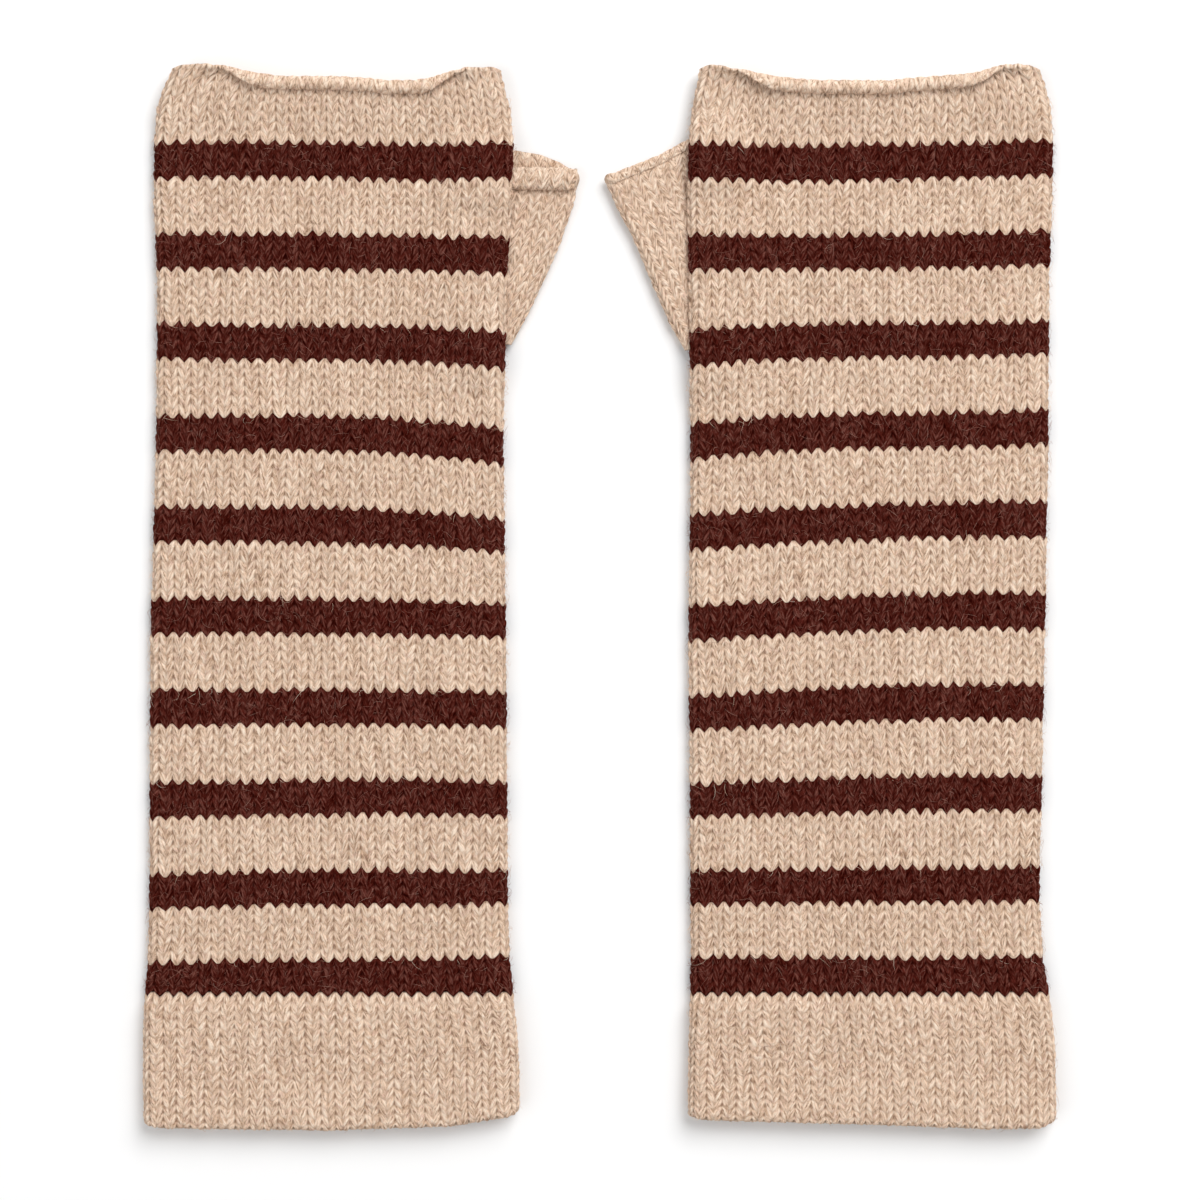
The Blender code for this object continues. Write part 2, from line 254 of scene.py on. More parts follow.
# Where the knit lies under the roll, in courses before the rim and in columns, and how calm it is
UNDER_COURSES = (1.6, 0.7)
UNDER_COLUMNS = (0.15 * WALES, 0.28 * WALES)
UNDER_CALM = 0.6

# Fibres of a leg: noise cells across and along it, its settings as scale, detail and roughness,
# the fibres' lean, the noise slices of a leg and a course, and the height of the bump
FIBRES_ACROSS = 2.34
FIBRES_ALONG = 1.008
FIBRE_NOISE = (1.0, 3.0, 0.72)
FIBRE_LEAN = 0.85
FIBRE_CLIMB = 0.6
LEG_SLICES = (7.31, 3.77)
FIBRE_BUMP = 0.45

# Colours of a yarn: the noise, spans and shares of its tints and its blush, how much each leg
# differs, and the spans and shares of the painted highlight on the crests of fibres and of the
# three kinds of painted shade, between plies, between fibres and in the gaps between legs
TINT_NOISE = (420.0, 3.0, 0.7)
TINT_SPAN = (0.38, 0.76)
LEG_TONE = 0.16
BLUSH_NOISE = (780.0, 2.0, 0.6)
BLUSH_SPAN = (0.52, 0.70)
BLUSH_SHARE = 0.75
PAINTED_HIGHLIGHT_SPAN = (0.50, 0.62)
PAINTED_HIGHLIGHT_SHARE = 0.9
PLY_WANDER = 6.0
PAINTED_PLY_SHADE_SPAN = (0.42, 0.0)
PAINTED_PLY_SHADE_SHARE = 0.5
PAINTED_FIBRE_SHADE_SPAN = (0.49, 0.35)
PAINTED_GAP_SHADE_SPAN = (0.25, 0.90)
PAINTED_GAP_SHADE_SHARE = 0.95
# In each yarn's colours, light is the colour of the painted highlight on fibre crests, and shade the
# colour of the painted shade between plies, fibres and legs
OATMEAL = {
    "tints": ((0.745, 0.513, 0.358, 1.0), (0.90, 0.675, 0.512, 1.0)),
    "light": (0.98, 0.82, 0.665, 1.0),
    "shade": (0.21, 0.112, 0.062, 1.0),
    "blush": (0.81, 0.55, 0.44, 1.0),
}
BROWN = {
    "tints": ((0.056, 0.0066, 0.0036, 1.0), (0.088, 0.0165, 0.011, 1.0)),
    "light": (0.185, 0.066, 0.050, 1.0),
    "shade": (0.018, 0.0006, 0.0001, 1.0),
    "blush": (0.120, 0.020, 0.014, 1.0),
}


def ease(value, start, end):
    """0 before start, 1 after end and an S-shaped rise between them."""
    share = np.clip((value - start) / (end - start), 0.0, 1.0)
    return share * share * (3.0 - 2.0 * share)


def read_rows(rows, value):
    """A table's later columns at the given values of its first, on straight lines between rows."""
    columns = np.array(rows).T
    return [np.interp(value, columns[0], column) for column in columns[1:]]


def uneven(u, v, size_u, size_v, seed):
    """Smooth random shifts: values at the points of a net, eased along both of its directions."""
    values = np.random.default_rng(seed).normal(size=(80, 160))
    u, v = np.broadcast_arrays(u / size_u + 20.0, v / size_v + 20.0)
    i, j = np.floor(u).astype(int), np.floor(v).astype(int)
    a, b = ease(u - i, 0.0, 1.0), ease(v - j, 0.0, 1.0)

    def between(row):
        return values[i % 80, row % 160] * (1 - a) + values[(i + 1) % 80, row % 160] * a

    return between(j) * (1 - b) + between(j + 1) * b


def around(share, left, right, depth):
    """Way round half a pressed tube, from one side seam to the other, as a share of its length.

    The way is a quarter turn of a fold, the flat part and a quarter turn again. Returns x on the
    flat part, and how far the cloth faces sideways and up.
    """
    turn = 0.25 * np.pi * (HAND_FOLD + depth)
    flat = right - left - 2 * HAND_FOLD
    total = flat + 2 * turn
    way = share * total
    first = np.clip(way / turn, 0.0, 1.0) * np.pi / 2
    last = np.clip((total - way) / turn, 0.0, 1.0) * np.pi / 2
    flat_x = left + HAND_FOLD + np.clip((way - turn) / flat, 0.0, 1.0) * flat
    return flat_x, np.cos(last) - np.cos(first), np.sin(np.minimum(first, last))


def hand_height(mitt, share, course):
    """Height along the mitt of a course, from the stripes' middle heights.

    Between stripes it runs in proportion to the courses, and past the lowest and highest stripe to
    the hem line and the rim line.
    """
    middle = 0.5 * STRIPE_COURSES + 0.5 * SLANT
    fit = np.polyfit(STRIPE_PLACES[mitt], np.array(STRIPE_HEIGHTS[mitt]).T, 3)
    heights = sum(fit[k][:, None] * share[None, :] ** (3 - k) for k in range(4))
    to_hem = (middle - 0.5 * SLANT) / STRIPE_REPEAT
    to_rim = (RIM_COURSE - middle) / STRIPE_REPEAT - (STRIPES - 1)
    below = heights[0] - (heights[0] - HEM_LINE) / to_hem
    above = heights[-1] + (RIM_LINE - heights[-1]) / to_rim
    heights = np.vstack((below, heights, above))
    row = (course - middle) / STRIPE_REPEAT + 1.0
    low = np.clip(np.floor(row).astype(int), 0, STRIPES)
    column = np.broadcast_to(np.arange(share.size), row.shape)
    return heights[low, column] + (heights[low + 1, column] - heights[low, column]) * (row - low)


def thumb_rise(mitt, along, across):
    """How far the thumb lifts the front panel: whole at the thumb's side, fading across it."""
    left, right = read_rows(SIDES[mitt], along)
    inward = right - across if THUMB_SIDE[mitt] > 0 else across - left
    rows = THUMB_RISE[mitt]
    lengthwise = rows[0][1] + 0.0 * along
    for (low, rise_low), (high, rise_high) in zip(rows, rows[1:]):
        lengthwise = lengthwise + (rise_high - rise_low) * ease(along, low, high)
    return lengthwise * (1.0 - ease(inward, *RISE_SPAN))


def roll_arc(radius, turn, rise, rolled):
    """A roll's arc, flattened to its rise: ways ahead and above, and how far it faces up and back."""
    squash = np.minimum(1.0, rise / (radius * (1.0 - np.cos(np.minimum(turn, np.pi)))))
    angle = rolled * turn
    size = np.hypot(np.cos(angle), squash * np.sin(angle))
    above = squash * radius * (1.0 - np.cos(angle))
    return radius * np.sin(angle), above, np.cos(angle) / size, -squash * np.sin(angle) / size


def hand_cloth(mitt, face, share, length, side, relief):
    """Points of a hand panel, given the share of the way round and the length from the pair's middle.

    side is 1 for the wall's outer face and -1 for its inner one, and relief is added outward from
    it. Lengths past the rim line lie on the roll, which turns least at the mitt's corners.
    """
    low, high = read_rows(SIDES[mitt], RIM_LINE)
    depth = KNIT_WALL + HAND_HOLLOW / 2
    flat_x, sideways, _ = around(share, low, high, depth)
    across = flat_x + HAND_FOLD * sideways
    spans = ROLL_SPANS[mitt]
    from_left = np.clip((across - low - spans["left"][0]) / np.ptp(spans["left"]), 0.0, 1.0)
    from_right = np.clip((high - across - spans["right"][0]) / np.ptp(spans["right"]), 0.0, 1.0)
    full = (from_left * from_right) ** ROLL_GROWTH
    turn = CORNER_TURN + (ROLL_TURN - CORNER_TURN) * full
    near_side = np.clip(np.minimum(across - low, high - across) / CORNER_ROUND, 0.0, 1.0)
    shorter = 1.0 - CORNER_DROP / ROLL_LENGTH * (1.0 - np.sqrt(1.0 - (1.0 - near_side) ** 2))
    rolled = np.maximum(length - RIM_LINE, 0.0) / ROLL_LENGTH
    radius = ROLL_LENGTH * (1.0 + (ROLL_LONGER - 1.0) * full) / turn
    top = RIM_LINE + (radius + 0.5 * RIM_WALL) * np.sin(np.minimum(turn, 0.5 * np.pi))
    ahead, above, out, back = roll_arc(radius * shorter, turn, ROLL_RISE, rolled)

    along = np.minimum(length, RIM_LINE) + ahead
    along = along + (read_rows(RIM_TOPS[mitt], across)[0] - top) * ease(length, LIFT_START, RIM_LINE)
    wall = KNIT_WALL + (RIM_WALL - KNIT_WALL) * ease(along, THIN_START, RIM_LINE)
    lift = ROLL_RISE * ease(along, LIFT_START, RIM_LINE)
    flat_x, sideways, upward = around(share, *read_rows(SIDES[mitt], along), depth)
    offset = side * (0.5 * wall * (1.0 - LIP_LESS * ease(rolled, *LIP_SPAN)) + relief)
    x = flat_x + (HAND_FOLD - wall / 2 + above + offset * out) * sideways
    y = along + offset * back
    z = lift + wall + HAND_HOLLOW / 2
    z = z + face * (wall / 2 + HAND_HOLLOW / 2 + above + offset * out) * upward
    z = z + thumb_rise(mitt, y, x) if face > 0 else np.maximum(z, 0.0)
    return np.stack((x, y, z), axis=-1)


def knit_relief(u, w, seed):
    """Depth below its crests of the knit side, u in stitch columns and w in courses.

    Each column holds two legs. Across a leg the form is half an ellipse, whose crest leans from
    the column's middle at the foot to its side at the head. Along it the form sinks at both ends,
    and legs differ a little in size. Feet press on each other in the column's middle, and legs at
    its sides except near their ends, which leaves one small hole for each stitch.
    """
    leg, course = np.floor(2 * u + 1e-6).astype(int), np.floor(w + 1e-6).astype(int)
    from_middle = np.abs(2 * (u % 1.0) - 1.0)
    up = np.clip(w - course, 0.0, 1.0)
    random = np.random.default_rng(seed)
    leans = random.uniform(-LEAN_RANGE, LEAN_RANGE, size=(64, 160))[leg % 64, course % 160]
    ridge = 0.5 + leans - 0.5 * LEG_LEAN * np.sin(2 * np.pi * up)
    reach = np.where(from_middle < ridge, ridge, 1.0 - ridge)
    across = np.sqrt(np.clip(1.0 - ((from_middle - ridge) / reach) ** 2, 0.0, 1.0))
    feet = 1.0 - FOOT_FREE * ease(up, *FOOT_SPAN)
    heads = ease(up, *HEAD_SPANS[0]) * (1.0 - ease(up, *HEAD_SPANS[1]))
    pressed = PRESSED[0] + (PRESSED[1] - PRESSED[0]) * np.where(from_middle < ridge, feet, heads)
    across = across + (1.0 - across) * pressed
    along = 1.0 - TIP_DROP * np.abs(2 * up - 1.0) ** TIP_POWER
    along = along + TIP_TILT * (0.5 - up) * np.sin(np.pi * up)
    sizes = random.uniform(*LEG_SIZES, size=(64, 160))
    return -GROOVE * (1.0 - across * along * sizes[leg % 64, course % 160])


def purl_rope(u, w):
    """Height of the strands on a rolled rim: slanted strands side by side, a column apart."""
    strand = np.abs(np.sin(np.pi * (u + ROPE_SLANT * w))) ** STRAND_POWER
    dents = ROPE_DENTS * (1.0 - np.abs(np.sin(np.pi * w)))
    return ROPE_DEPTH * (strand * (1.0 - dents) - 1.0)


# The depth is stored so that the materials paint shade into the gaps between legs
def with_hollows(u, w, relief, depth):
    """A wall's places for its material: columns, courses and how deep each point lies, 0 to 1."""
    u, w, hollow = np.broadcast_arrays(u, w, np.clip(-relief / depth, 0.0, 1.0))
    return np.stack((u, w, hollow), axis=-1)


def closed_faces(outer, inner, outer_way, inner_way):
    """Faces of a closed piece of cloth from the point grids of its two walls.

    The grids have the same columns, and rows at the given ways along the cloth. Quads join the
    first rows and the last ones. At each side, every outer edge gets a triangle to the nearest
    inner point before it, and every inner edge one to the outer point where that changes.
    """
    rows, columns = outer.shape[:2]
    others = inner.shape[0]
    first = np.arange(rows * columns).reshape(rows, columns)
    second = rows * columns + np.arange(others * columns).reshape(others, columns)

    def quads(grid):
        corners = (grid[:-1, :-1], grid[:-1, 1:], grid[1:, 1:], grid[1:, :-1])
        return np.stack(corners, axis=-1).reshape(-1, 4)

    squares = [quads(first), quads(second)[:, ::-1]]
    squares += [quads(np.stack(pair)) for pair in ((second[0], first[0]), (first[-1], second[-1]))]

    inner_middles, outer_middles = (0.5 * (way[:-1] + way[1:]) for way in (inner_way, outer_way))
    nearest = np.searchsorted(inner_middles, outer_middles)
    nearest[0] = 0
    nearest[-1] = others - 1
    change = np.searchsorted(nearest, np.arange(others - 1), side="right")
    triangles = []
    for column, turned in ((0, 1), (columns - 1, -1)):
        a, b = first[:, column], second[:, column]
        triangles.append(np.stack((a[:-1], a[1:], b[nearest]), axis=-1)[:, ::turned])
        triangles.append(np.stack((b[1:], b[:-1], a[change]), axis=-1)[:, ::turned])
    return np.concatenate(squares), np.concatenate(triangles)


def add_cloth(name, walls, places, ways, materials, dark):
    """A closed piece of knitted cloth, from its outer and inner wall in millimetres.

    ways are the ways along the cloth of the two walls' rows, from the same end.
    """
    squares, triangles = closed_faces(*walls, *ways)
    points, places = (np.concatenate([grid.reshape(-1, 3) for grid in pair]) for pair in (walls, places))
    return add_piece(name, points, places, squares, triangles, materials, dark)


def add_piece(name, points, places, squares, triangles, materials, dark):
    """A closed mesh from points in millimetres, whose materials read its places in the knit.

    A place is a column, a course and how hollow the cloth is there. dark gives whether the yarn at
    a place is the second material's. Faces are turned outward by the sign of the enclosed volume.
    """
    a, b, c, d = (points[squares[:, k]] for k in range(4))
    e, f, g = (points[triangles[:, k]] for k in range(3))
    volume = np.einsum("ij,ij->i", a, np.cross(b, c) + np.cross(c, d)).sum()
    volume += np.einsum("ij,ij->i", e, np.cross(f, g)).sum()
    if volume < 0:
        squares, triangles = squares[:, ::-1], triangles[:, ::-1]
    corners = np.concatenate((squares.ravel(), triangles.ravel()))
    counts = np.concatenate((np.full(len(squares), 4), np.full(len(triangles), 3)))
    starts = np.concatenate(([0], np.cumsum(counts)[:-1]))
    middles = np.concatenate((places[squares].mean(axis=1), places[triangles].mean(axis=1)))

    mesh = bpy.data.meshes.new(name)
    mesh.vertices.add(len(points))
    mesh.vertices.foreach_set("co", (points * MM).ravel())
    mesh.loops.add(len(corners))
    mesh.loops.foreach_set("vertex_index", corners.astype(np.int32))
    mesh.polygons.add(len(counts))
    mesh.polygons.foreach_set("loop_start", starts.astype(np.int32))
    mesh.polygons.foreach_set("material_index", dark(middles).astype(np.int32))
    mesh.update(calc_edges=True)
    mesh.uv_layers.new(name="stitches").uv.foreach_set("vector", places[corners, :2].ravel())
    mesh.attributes.new("hollow", "FLOAT", "POINT").data.foreach_set("value", places[:, 2].copy())
    for material in materials:
        mesh.materials.append(material)
    mesh.shade_smooth()
    piece = bpy.data.objects.new(name, mesh)
    bpy.context.scene.collection.objects.link(piece)
    return piece


def wool(name, colours, painted_shade_share, gloss, sheen, sheen_tint):
    """Two-ply wool yarn, in the stitches' own columns and courses.

    Noise stretched along each leg gives the fibres, whose crests take a painted highlight in the
    light colour. Lines between plies, hollows between fibres and gaps between legs take painted
    shade in the shade colour. Slow noise mixes the tints and the blush, and each leg is a little
    lighter or darker than the next.
    """
    material = bpy.data.materials.new(name)
    material.use_nodes = True
    nodes, links = material.node_tree.nodes, material.node_tree.links
    shader = nodes["Principled BSDF"]

    def math(operation, a, b=None, c=None):
        node = nodes.new("ShaderNodeMath")
        node.operation = operation
        for socket, value in zip(node.inputs, (a, b, c)):
            if isinstance(value, (int, float)):
                socket.default_value = value
            elif value is not None:
                links.new(value, socket)
        return node.outputs[0]

    def point(*values):
        node = nodes.new("ShaderNodeCombineXYZ")
        for socket, value in zip(node.inputs, values):
            links.new(value, socket)
        return node.outputs[0]

    def noise(place, settings):
        node = nodes.new("ShaderNodeTexNoise")
        for socket, setting in zip(("Scale", "Detail", "Roughness"), settings):
            node.inputs[socket].default_value = setting
        links.new(place, node.inputs["Vector"])
        return node.outputs["Fac"]

    def span(value, ends, share):
        node = nodes.new("ShaderNodeMapRange")
        for socket, setting in zip(("From Min", "From Max", "To Min", "To Max"), (*ends, 0.0, share)):
            node.inputs[socket].default_value = setting
        links.new(value, node.inputs["Value"])
        return node.outputs[0]

    def mix(share, first, second):
        node = nodes.new("ShaderNodeMix")
        node.data_type = "RGBA"
        links.new(share, node.inputs["Factor"])
        for socket, colour in (("A", first), ("B", second)):
            if isinstance(colour, tuple):
                node.inputs[socket].default_value = colour
            else:
                links.new(colour, node.inputs[socket])
        return node.outputs["Result"]

    stitches = nodes.new("ShaderNodeUVMap")
    stitches.uv_map = "stitches"
    parts = nodes.new("ShaderNodeSeparateXYZ")
    links.new(stitches.outputs[0], parts.inputs[0])
    u, w = parts.outputs[0], parts.outputs[1]
    from_middle = math("ABSOLUTE", math("MULTIPLY_ADD", math("FRACT", u), 2.0, -1.0))
    leg = math("FLOOR", math("MULTIPLY", u, 2.0))
    course = math("FLOOR", w)
    up = math("FRACT", w)

    # Across and along the fibres of a leg, and a different slice of the noise for each leg
    lean = math("MULTIPLY_ADD", up, -FIBRE_LEAN, from_middle)
    across = math("MULTIPLY", lean, FIBRES_ACROSS)
    along = math("MULTIPLY", math("MULTIPLY_ADD", from_middle, FIBRE_CLIMB, up), FIBRES_ALONG)
    each_leg = math("ADD", math("MULTIPLY", leg, LEG_SLICES[0]), math("MULTIPLY", course, LEG_SLICES[1]))
    fibres = noise(point(across, along, each_leg), FIBRE_NOISE)
    tone = nodes.new("ShaderNodeTexWhiteNoise")
    tone.noise_dimensions = "2D"
    links.new(point(leg, course), tone.inputs["Vector"])

    places = nodes.new("ShaderNodeTexCoord")
    slow = noise(places.outputs["Object"], TINT_NOISE)
    blushing = noise(places.outputs["Object"], BLUSH_NOISE)
    hollow = nodes.new("ShaderNodeAttribute")
    hollow.attribute_name = "hollow"

    tints = span(math("MULTIPLY_ADD", tone.outputs["Value"], LEG_TONE, slow), TINT_SPAN, 1.0)
    tint = mix(tints, *colours["tints"])
    tint = mix(span(blushing, BLUSH_SPAN, BLUSH_SHARE), tint, colours["blush"])
    # Painted highlight: the crests of the fibres are lightened towards the light colour
    tint = mix(span(fibres, PAINTED_HIGHLIGHT_SPAN, PAINTED_HIGHLIGHT_SHARE), tint, colours["light"])
    plies = math("MULTIPLY_ADD", lean, np.pi, math("MULTIPLY", fibres, PLY_WANDER))
    # Painted shade: lines between plies, low parts of the fibre noise and, by the stored depth, the gaps
    # between legs darken towards the shade colour
    painted_ply_shade = span(math("ABSOLUTE", math("SINE", plies)), PAINTED_PLY_SHADE_SPAN, PAINTED_PLY_SHADE_SHARE * painted_shade_share)
    painted_fibre_shade = math("MAXIMUM", painted_ply_shade, span(fibres, PAINTED_FIBRE_SHADE_SPAN, painted_shade_share))
    painted_gap_shade = span(hollow.outputs["Fac"], PAINTED_GAP_SHADE_SPAN, PAINTED_GAP_SHADE_SHARE)
    shaded = mix(math("MAXIMUM", painted_fibre_shade, painted_gap_shade), tint, colours["shade"])
    links.new(shaded, shader.inputs["Base Color"])

    bump = nodes.new("ShaderNodeBump")
    bump.inputs["Strength"].default_value = 1.0
    bump.inputs["Distance"].default_value = FIBRE_BUMP * MM
    links.new(fibres, bump.inputs["Height"])
    links.new(bump.outputs[0], shader.inputs["Normal"])
    shader.inputs["Roughness"].default_value = 0.95
    shader.inputs["Specular IOR Level"].default_value = gloss
    shader.inputs["Sheen Weight"].default_value = sheen
    shader.inputs["Sheen Roughness"].default_value = 0.3
    shader.inputs["Sheen Tint"].default_value = sheen_tint
    return material


oatmeal = wool(
    "oatmeal_wool", OATMEAL, painted_shade_share=0.82, gloss=0.12, sheen=0.20, sheen_tint=(1.0, 0.86, 0.76, 1.0)
)
brown = wool(
    "dark_brown_wool", BROWN, painted_shade_share=1.0, gloss=0.0, sheen=0.16, sheen_tint=(0.80, 0.14, 0.08, 1.0)
)


def striped(places):
    """Whether a place in columns and courses lies in a dark stripe."""
    courses = places[:, 1]
    return (courses % STRIPE_REPEAT < STRIPE_COURSES) & (courses < STRIPES * STRIPE_REPEAT - 1)


def plain(places):
    """No place lies in a dark stripe."""
    return np.zeros(len(places), bool)


def course_rows(first, last, steps):
    """Rows from one course to another, at the given steps of each course."""
    rows = (np.arange(first, last)[:, None] + np.array(steps)[None, :]).ravel()
    return np.append(rows, last)


def course_climb(u, w):
    """How far a course's line climbs, in courses, from the middle of a stitch column to its side.

    Between like courses the line is straight. Over a dark stripe it leaves the middle late, as
    plump light feet, and under one it reaches the side early, as plump light heads.
    """
    climb = np.abs(2 * (u % 1.0) - 1.0)
    feet, heads = np.clip((climb - 0.2) / 0.8, 0.0, 1.0), np.clip(climb / 0.8, 0.0, 1.0)

    def line(course):
        last = course < STRIPES * STRIPE_REPEAT - 1
        light = np.where(course % STRIPE_REPEAT == STRIPE_COURSES, feet, climb)
        return np.where(last, np.where(course % STRIPE_REPEAT == 0, heads, light), climb)

    course = np.floor(w + 1e-6)
    up = np.clip(w - course, 0.0, 1.0)
    flatten = ease(w, RIM_COURSE + 0.7, RIM_COURSE + ROLL_COURSES)
    climb = (1.0 - up) * line(course) + up * line(course + 1)
    return SLANT * (climb + (0.5 - climb) * flatten)


def free(u):
    """How free a place across a face is to shift, from 0 at the side seams to 1 a little way in."""
    return ease(u, 0.0, SEAM_REACH) * ease(WALES - u, 0.0, SEAM_REACH)


def drift(u, v, seed):
    """How far stitch columns drift sideways, in columns: the sum of two sizes of random shifts."""
    shifts = [
        shift * uneven(u, v, columns, courses, seed + 1 + index)
        for index, (columns, courses, shift) in enumerate(DRIFTS)
    ]
    return sum(shifts) * free(u)


def under_roll(u, w):
    """How far a place of a hand panel lies under the full roll of its rim, from 0 to 1."""
    near_rim = ease(w, RIM_COURSE - UNDER_COURSES[0], RIM_COURSE - UNDER_COURSES[1])
    return near_rim * ease(u, *UNDER_COLUMNS) * ease(WALES - u, *UNDER_COLUMNS)


def add_hand(mitt, face):
    """A hand panel: the knit side with every stitch, and inside it a plain wall to the rim's roll.

    The plain wall has rows at the stripes' edges only, and close rows on the roll.
    """
    steps = FRONT_STEPS if face > 0 else BACK_STEPS
    columns = np.arange(WALES * steps + 1) / steps
    u = columns[None, :]
    seed = HAND_SEEDS[mitt] + face

    w = course_rows(0, RIM_COURSE, COURSE_STEPS)
    w = np.append(w, RIM_COURSE + np.linspace(0, ROLL_COURSES, OUTER_ROLL_ROWS)[1:])
    w = np.unique(np.minimum(w, RIM_COURSE + ROLL_COURSES))[:, None]
    inner_w = np.sort(np.concatenate((
        np.arange(0, STRIPES * STRIPE_REPEAT, STRIPE_REPEAT),
        np.arange(STRIPE_COURSES, STRIPES * STRIPE_REPEAT, STRIPE_REPEAT),
        RIM_COURSE + np.linspace(-0.5, ROLL_COURSES, INNER_ROLL_ROWS),
    )))[:, None]

    def wall_points(side, w, v, relief):
        share = (u + drift(u, v, seed)) / WALES
        lift = COURSE_LIFT * uneven(u, v, 1.5, 1.0, seed + 3) * free(u) * ease(v, 0.7, 3.0)
        if face > 0:
            length = hand_height(mitt, columns / WALES, v + lift)
        else:
            sides = hand_height(mitt, np.array((0.0, 1.0)), np.hstack((w, w)))
            length = sides[:, :1] + (sides[:, 1:] - sides[:, :1]) * u / WALES
            length = length + (v - w + lift) * COURSE
        return hand_cloth(mitt, face, share, length, side, relief)

    v = w + course_climb(u, w)
    knit = knit_relief(u, w, seed) * (1.0 - UNDER_CALM * under_roll(u, w))
    waves = WAVES * np.clip(uneven(u, v, 6.0, 14.0, seed + 4), -1.0, 1.0) * free(u)
    outer = wall_points(1, w, v, knit + (CREST + waves if face > 0 else 0.0))

    inner_v = inner_w + 0.5 * SLANT + 0.0 * u
    rolling = ease(inner_w, RIM_COURSE - 0.2, RIM_COURSE + 0.4)
    shift = ROPE_SHIFT * uneven(u, inner_w, 1.3, 1.5, seed + 5)
    rope = rolling * (purl_rope(u + shift, inner_w) + CREST)
    inner = wall_points(-1, inner_w, inner_v, rope)

    places = (with_hollows(u, w, knit, GROOVE), with_hollows(u, inner_w, rope, ROPE_DEPTH))
    ways = (w[:, 0], inner_w[:, 0])
    walls = (outer, inner)
    return add_cloth(f"{mitt}_{FACES[face]}_cloth", walls, places, ways, (oatmeal, brown), striped)


hands = {}
for mitt in ("left", "right"):
    for face, node in ((-1, f"{mitt}_hand_back"), (1, f"{mitt}_hand_front")):
        hands[node] = add_hand(mitt, face)
        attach(hands[node], "root")
        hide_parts(node)

# Hems of the mitts
#
# The hem is knitted first, in oatmeal wool: a wide band of 15 courses that is folded inside at
# its lower edge and knitted together with the tube, so it is two layers thick and a little wider.

HEM_WALL = 3.2
HEM_STEP = 4.0
MOUTH_HOLLOW = 1.4
MOUTH_LENGTH = 20.0
HEM_COURSES = 15
FOLD_COURSES = 2.2
INSIDE_COURSES = 13
HEM_LIFT = 0.08
HEM_SEEDS = {"left": 40, "right": 50}

# Lower edge of each hem: distance along it from the mitt's left side as a share, and the height
HEM_EDGES = {
    "left": ((0.0, -139.6), (0.08, -140.4), (0.5, -141.0), (0.8, -139.9), (0.95, -137.4), (1.0, -136.2)),
    "right": ((0.0, -137.4), (0.08, -138.3), (0.5, -139.4), (0.8, -140.6), (0.93, -140.4), (1.0, -138.6)),
}


def hem_cloth(mitt, face, share, course, relief):
    """Points of a hem panel, given the share of the way round and the course below the hem line.

    The courses run down the outer face, on a half circle round the lower fold and up inside.
    """
    radius = HEM_WALL / 2
    (bottom,) = read_rows(HEM_EDGES[mitt], share)
    angle = np.pi * np.clip((course - HEM_COURSES) / FOLD_COURSES, 0.0, 1.0)
    inside = np.maximum(course - HEM_COURSES - FOLD_COURSES, 0.0)
    pitch = (HEM_LINE - bottom - radius) / HEM_COURSES
    along = HEM_LINE + pitch * (inside - np.minimum(course, HEM_COURSES))
    wall = HEM_WALL + (KNIT_WALL - HEM_WALL) * ease(along, HEM_LINE - HEM_STEP, HEM_LINE)
    hollow = HAND_HOLLOW + (MOUTH_HOLLOW - HAND_HOLLOW) * ease(-along, -bottom - MOUTH_LENGTH, -bottom)
    flat_x, sideways, upward = around(share, *read_rows(SIDES[mitt], along), wall + hollow / 2)
    offset = wall / 2 + relief
    x = flat_x + (HAND_FOLD - wall / 2 + offset * np.cos(angle)) * sideways
    y = along - offset * np.sin(angle)
    z = wall + hollow / 2 + face * (wall / 2 + hollow / 2 + offset * np.cos(angle)) * upward
    return np.stack((x, y, z), axis=-1)


def add_hem(mitt, face):
    """A hem panel: stitches down its outer face, round the fold and on the first courses inside.

    Its two walls meet in the middle of the fold, and their columns drift as those of the hand do.
    """
    steps = FRONT_STEPS if face > 0 else BACK_STEPS
    u = (np.arange(WALES * steps + 1) / steps)[None, :]
    seed = HEM_SEEDS[mitt] + face
    fold_middle = -(HEM_COURSES + FOLD_COURSES / 2)
    last = -(HEM_COURSES + FOLD_COURSES + INSIDE_COURSES)
    w = course_rows(int(fold_middle), 0, COURSE_STEPS)
    w = np.append(fold_middle + np.array((0.06, 0.3, 0.65)), w[w > fold_middle + 0.75])
    inner_w = np.append(fold_middle - np.arange(0.06, 3.2, 0.25), np.linspace(fold_middle - 4.0, last, 5))

    def wall_points(w, relief):
        v = w + course_climb(u, w)
        share = (u + drift(u, v, HAND_SEEDS[mitt] + face)) / WALES
        lift = HEM_LIFT * uneven(u, v, 1.5, 1.0, seed + 3) * free(u) * ease(-v, 1.0, 3.0)
        crest = CREST if face > 0 else 0.0
        return hem_cloth(mitt, face, share, 0.5 * SLANT - v - lift, relief + crest)

    rows = (w[:, None], inner_w[:, None])
    reliefs = [knit_relief(u, courses, seed) for courses in rows]
    walls = [wall_points(courses, relief) for courses, relief in zip(rows, reliefs)]
    places = [with_hollows(u, courses, relief, GROOVE) for courses, relief in zip(rows, reliefs)]
    ways = (w - fold_middle, fold_middle - inner_w)
    return add_cloth(f"{mitt}_hem_{FACES[face]}_cloth", walls, places, ways, (oatmeal,), plain)


hems = {}
for mitt in ("left", "right"):
    for face, node in ((-1, f"{mitt}_hem_back"), (1, f"{mitt}_hem_front")):
        hems[node] = add_hem(mitt, face)
        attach(hems[node], "root")
        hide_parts(node)

# Thumbs of the mitts
#
# Each thumb is a short tube knitted on from a wedge of added stitches, in oatmeal wool. It comes
# out from under the front panel's side, lies flat, and its cast-off rim rolls outward in front.

